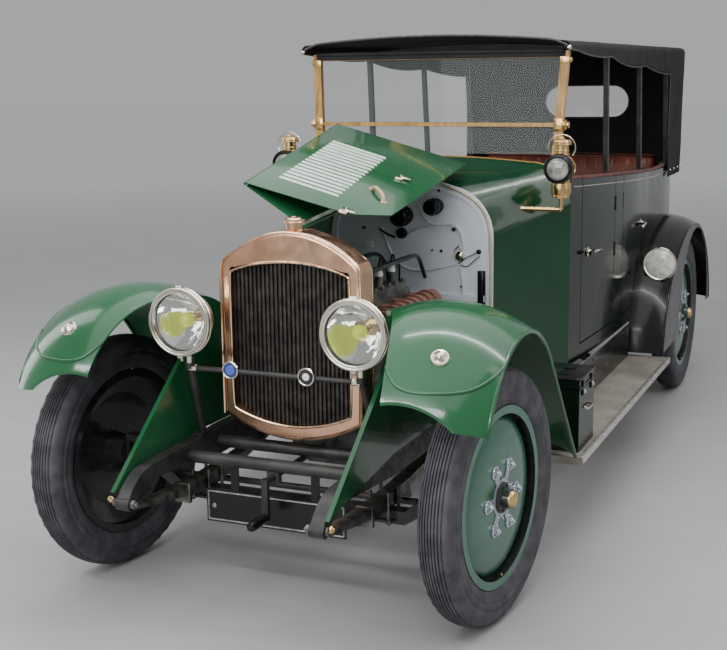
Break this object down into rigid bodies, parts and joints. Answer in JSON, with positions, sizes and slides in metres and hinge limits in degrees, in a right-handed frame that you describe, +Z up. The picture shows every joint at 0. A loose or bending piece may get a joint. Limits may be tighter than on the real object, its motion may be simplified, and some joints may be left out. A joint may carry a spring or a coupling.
{
  "type": "1920s vintage car",
  "caption": "Open 1920s touring car with a raised canvas hood, disc wheels, swept wings, running boards and half of its bonnet folded open over the engine.",
  "frame": {"origin": "on the floor, at the middle of the car's length and width", "axes": "+X towards the car's left, +Y towards its rear, +Z up; it faces -Y"},
  "size_m": [1.69, 4.7083, 1.9],
  "materials": {
    "black_steel": "semi-gloss chassis black",
    "spring_steel": "oiled dark steel",
    "green_paint": "polished dark green coach paint",
    "wheel_green": "green enamel with bright hub star",
    "tyre_rubber": "matte black rubber",
    "copper_shell": "polished copper and brass",
    "core_metal": "dark upright strips",
    "cast_metal": "oiled cast metal",
    "manifold_iron": "heat-browned ribbed iron",
    "bulkhead_paint": "pale blue-grey paint",
    "varnished_wood": "glossy varnish",
    "floor_wood": "worn dark boards",
    "leather": "reddish-brown buttoned leather",
    "glass": "clear",
    "canvas": "black hood canvas",
    "board_metal": "worn tread plate with a dark edge",
    "lamp_nickel": "polished nickel",
    "lamp_brass": "polished brass with black rims",
    "plate_black": "blank gloss black",
    "wheel_black": "black rim with bright spokes"
  },
  "bodies": {
    "car": {"chassis_frame": "black_steel", "leaf_springs": "spring_steel", "front_axle": "black_steel", "rear_axle": "black_steel", "steering_column": "black_steel", "radiator_shell": "copper_shell", "radiator_core": "core_metal", "bonnet_right": "green_paint", "bonnet_left_top": "green_paint", "bonnet_left_side": "green_paint", "engine": "cast_metal", "exhaust": "manifold_iron", "bulkhead": "bulkhead_paint", "scuttle": "green_paint", "dashboard": "varnished_wood", "body_tub": "green_paint", "floor": "floor_wood", "front_seat": "leather", "rear_seat": "leather", "windscreen_frame": "varnished_wood", "window_panes": "glass", "hood_canvas": "canvas", "hood_sticks": "varnished_wood", "front_wings": "green_paint", "rear_wings": "green_paint", "running_boards": "board_metal", "toolbox": "green_paint", "headlamps": "lamp_nickel", "lamp_glasses": "glass", "lamp_posts": "black_steel", "oil_lamps": "lamp_brass", "number_plates": "plate_black", "starting_handle": "black_steel"},
    "knuckle_left": {"knuckle_left": "black_steel"},
    "knuckle_right": {"knuckle_right": "black_steel"},
    "track_rod": {"track_rod": "black_steel"},
    "steering_wheel": {"steering_wheel": "wheel_black"},
    "wheel_front_left": {"wheel_front_left": "wheel_green", "tyre_front_left": "tyre_rubber"},
    "wheel_front_right": {"wheel_front_right": "wheel_green", "tyre_front_right": "tyre_rubber"},
    "wheel_rear_left": {"wheel_rear_left": "wheel_green", "tyre_rear_left": "tyre_rubber"},
    "wheel_rear_right": {"wheel_rear_right": "wheel_green", "tyre_rear_right": "tyre_rubber"},
    "door_front_left": {"door_front_left": "green_paint"},
    "door_front_right": {"door_front_right": "green_paint"},
    "door_rear_left": {"door_rear_left": "green_paint"},
    "door_rear_right": {"door_rear_right": "green_paint"}
  },
  "joints": [
    {"name": "steer_left", "type": "hinge", "parent": "car", "child": "knuckle_left", "pos_m": [0.611, -1.8175, 0.42], "axis": [0, 0, 1], "range_deg": [-23.2, 36.8]},
    {"name": "steer_right", "type": "hinge", "parent": "car", "child": "knuckle_right", "pos_m": [-0.611, -1.8175, 0.42], "axis": [0, 0, 1], "range_deg": [-23.2, 36.8]},
    {"name": "track_rod_pin", "type": "hinge", "parent": "knuckle_left", "child": "track_rod", "pos_m": [0.63113, -1.6487, 0.28], "axis": [0, 0, 1], "range_deg": [-36.8, 23.2]},
    {"name": "steering_wheel_turn", "type": "hinge", "parent": "car", "child": "steering_wheel", "pos_m": [-0.285, -0.1175, 1.238], "axis": [0, 0.8322, 0.5545], "range_deg": [-279, 442]},
    {"name": "front_left_spin", "type": "hinge", "parent": "knuckle_left", "child": "wheel_front_left", "pos_m": [0.70533, -1.82875, 0.42], "axis": [0.993, -0.1184, 0], "continuous": true},
    {"name": "front_right_spin", "type": "hinge", "parent": "knuckle_right", "child": "wheel_front_right", "pos_m": [-0.70533, -1.80625, 0.42], "axis": [0.993, -0.1184, 0], "continuous": true},
    {"name": "rear_left_spin", "type": "hinge", "parent": "car", "child": "wheel_rear_left", "pos_m": [0.706, 1.5625, 0.42], "axis": [1, 0, 0], "continuous": true},
    {"name": "rear_right_spin", "type": "hinge", "parent": "car", "child": "wheel_rear_right", "pos_m": [-0.706, 1.5625, 0.42], "axis": [1, 0, 0], "continuous": true},
    {"name": "door_front_left_hinge", "type": "hinge", "parent": "car", "child": "door_front_left", "pos_m": [0.638, 0.2755, 0.95], "axis": [0, 0, 1], "range_deg": [0, 70]},
    {"name": "door_rear_left_hinge", "type": "hinge", "parent": "car", "child": "door_rear_left", "pos_m": [0.638, 0.4395, 1], "axis": [0, 0, -1], "range_deg": [0, 70]},
    {"name": "door_front_right_hinge", "type": "hinge", "parent": "car", "child": "door_front_right", "pos_m": [-0.638, 0.2755, 0.95], "axis": [0, 0, -1], "range_deg": [0, 70]},
    {"name": "door_rear_right_hinge", "type": "hinge", "parent": "car", "child": "door_rear_right", "pos_m": [-0.638, 0.4395, 1], "axis": [0, 0, 1], "range_deg": [0, 70]}
  ],
  "couplings": [
    {"joint": "steer_right", "follows": "steer_left", "ratio": 1},
    {"joint": "track_rod_pin", "follows": "steer_left", "ratio": -1},
    {"joint": "steering_wheel_turn", "follows": "steer_left", "ratio": 12}
  ]
}
